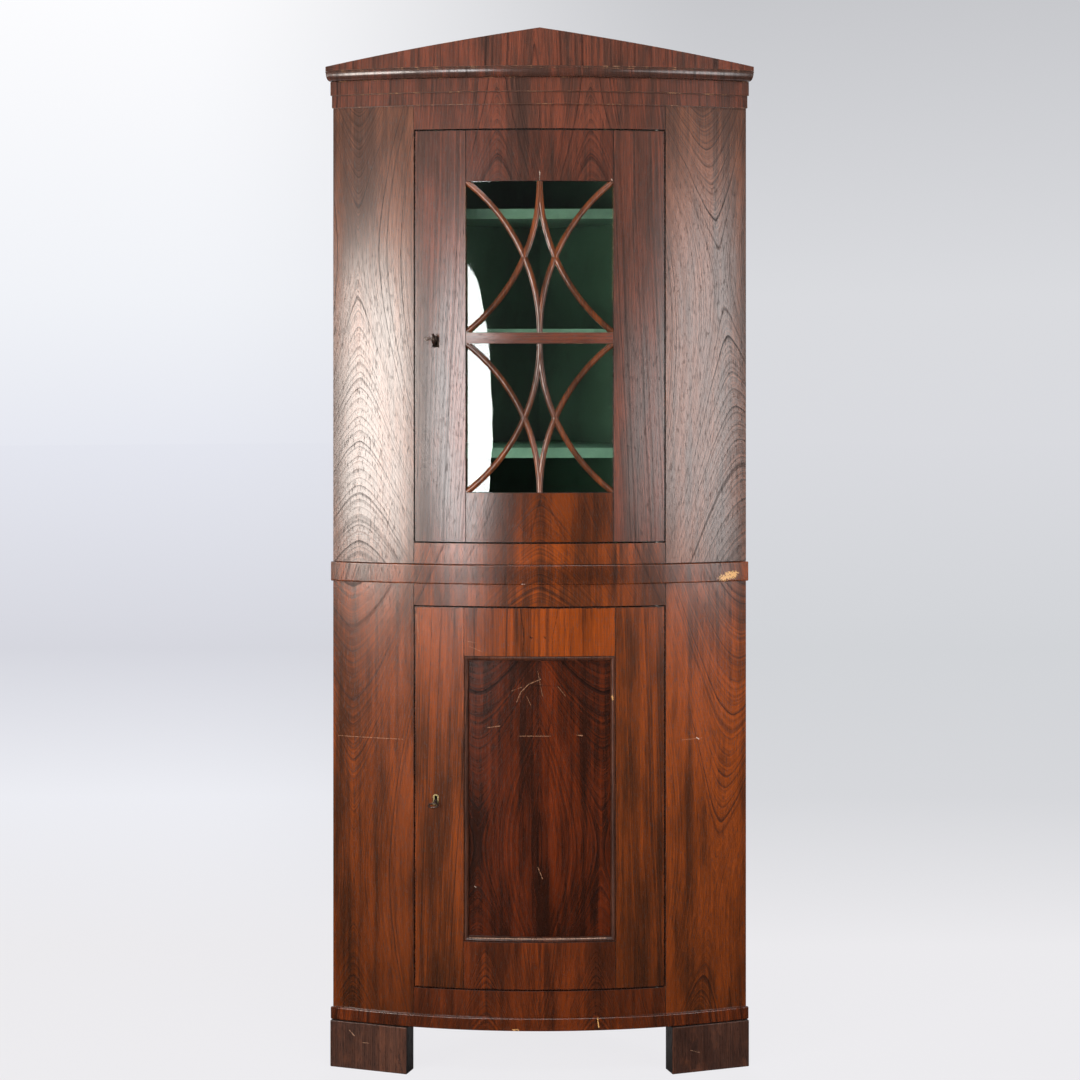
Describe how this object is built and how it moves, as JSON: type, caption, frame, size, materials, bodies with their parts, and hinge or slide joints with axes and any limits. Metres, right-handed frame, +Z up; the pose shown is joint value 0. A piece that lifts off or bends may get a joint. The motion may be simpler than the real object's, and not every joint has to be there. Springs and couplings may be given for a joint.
{
  "type": "corner cupboard",
  "caption": "Bow-fronted corner cupboard in two sections: a glazed door with curved glazing bars over a framed panel door, with keys, lock bolts, shelves and a low pediment.",
  "frame": {"origin": "on the floor, under the middle of the overall box", "axes": "+Z up, the bow front faces -Y, +X to the right seen from the front"},
  "size_m": [0.859, 0.5164, 2.0705],
  "materials": {
    "veneer": "polished stained ash veneer, worn",
    "foot_wood": "dark stained wood, worn",
    "green_paint": "matt green paint on wood",
    "glass": "clear window glass",
    "iron": "dark worn iron",
    "brass": "dull brass"
  },
  "bodies": {
    "cabinet": {"lower_left_stile": "veneer", "lower_right_stile": "veneer", "lower_top_rail": "veneer", "lower_bottom_rail": "veneer", "lower_left_back_board": "green_paint", "lower_right_back_board": "green_paint", "lower_bottom_board": "green_paint", "lower_top_board": "green_paint", "upper_left_stile": "veneer", "upper_right_stile": "veneer", "upper_top_rail": "veneer", "upper_bottom_rail": "veneer", "upper_left_back_board": "green_paint", "upper_right_back_board": "green_paint", "upper_bottom_board": "green_paint", "upper_top_board": "green_paint", "lower_shelf": "green_paint", "upper_shelf_1": "green_paint", "upper_shelf_2": "green_paint", "upper_shelf_3": "green_paint", "plinth_moulding": "veneer", "waist_moulding": "veneer", "frieze": "veneer", "cornice_moulding": "veneer", "pediment": "veneer", "left_front_foot": "foot_wood", "right_front_foot": "foot_wood", "rear_foot": "foot_wood", "lower_door_lower_pivot_pin": "iron", "lower_door_upper_pivot_pin": "iron", "upper_door_lower_pivot_pin": "iron", "upper_door_upper_pivot_pin": "iron"},
    "upper_door": {"upper_door_left_stile": "veneer", "upper_door_right_stile": "veneer", "upper_door_top_rail": "veneer", "upper_door_centre_rail": "veneer", "upper_door_bottom_rail": "veneer", "upper_pane": "glass", "lower_pane": "glass", "upper_glazing_bars": "veneer", "lower_glazing_bars": "veneer", "upper_keyhole_liner": "iron", "upper_lock_case": "iron", "upper_door_lower_pivot_socket": "iron", "upper_door_upper_pivot_socket": "iron"},
    "lower_door": {"lower_door_left_stile": "veneer", "lower_door_right_stile": "veneer", "lower_door_top_rail": "veneer", "lower_door_bottom_rail": "veneer", "lower_door_panel": "veneer", "lower_door_bead": "veneer", "lower_keyhole_liner": "brass", "lower_lock_case": "iron", "lower_door_lower_pivot_socket": "iron", "lower_door_upper_pivot_socket": "iron"},
    "upper_key": {"upper_key": "iron"},
    "lower_key": {"lower_key": "iron"},
    "upper_bolt": {"upper_lock_bolt": "iron"},
    "lower_bolt": {"lower_lock_bolt": "iron"}
  },
  "joints": [
    {"name": "upper_door_hinge", "type": "hinge", "parent": "cabinet", "child": "upper_door", "pos_m": [0.23316, -0.20721, 1.46375], "axis": [0, 0, 1], "range_deg": [0, 110]},
    {"name": "lower_door_hinge", "type": "hinge", "parent": "cabinet", "child": "lower_door", "pos_m": [0.23316, -0.20721, 0.55025], "axis": [0, 0, 1], "range_deg": [0, 110]},
    {"name": "upper_key_turn", "type": "hinge", "parent": "upper_door", "child": "upper_key", "pos_m": [-0.20246, -0.20182, 1.458], "axis": [-0.1894, -0.9819, 0], "range_deg": [0, 80]},
    {"name": "lower_key_turn", "type": "hinge", "parent": "lower_door", "child": "lower_key", "pos_m": [-0.20246, -0.20182, 0.55], "axis": [-0.1801, -0.9338, -0.309], "range_deg": [0, 80]},
    {"name": "upper_bolt_slide", "type": "slide", "parent": "upper_door", "child": "upper_bolt", "axis": [-0.9819, 0.1894, 0], "range_m": [0, 0.01094]},
    {"name": "lower_bolt_slide", "type": "slide", "parent": "lower_door", "child": "lower_bolt", "axis": [-0.9819, 0.1894, 0], "range_m": [0, 0.01094]}
  ],
  "couplings": [
    {"joint": "upper_bolt_slide", "follows": "upper_key_turn", "m_per_rad": 0.0078262},
    {"joint": "lower_bolt_slide", "follows": "lower_key_turn", "m_per_rad": 0.0078262}
  ]
}
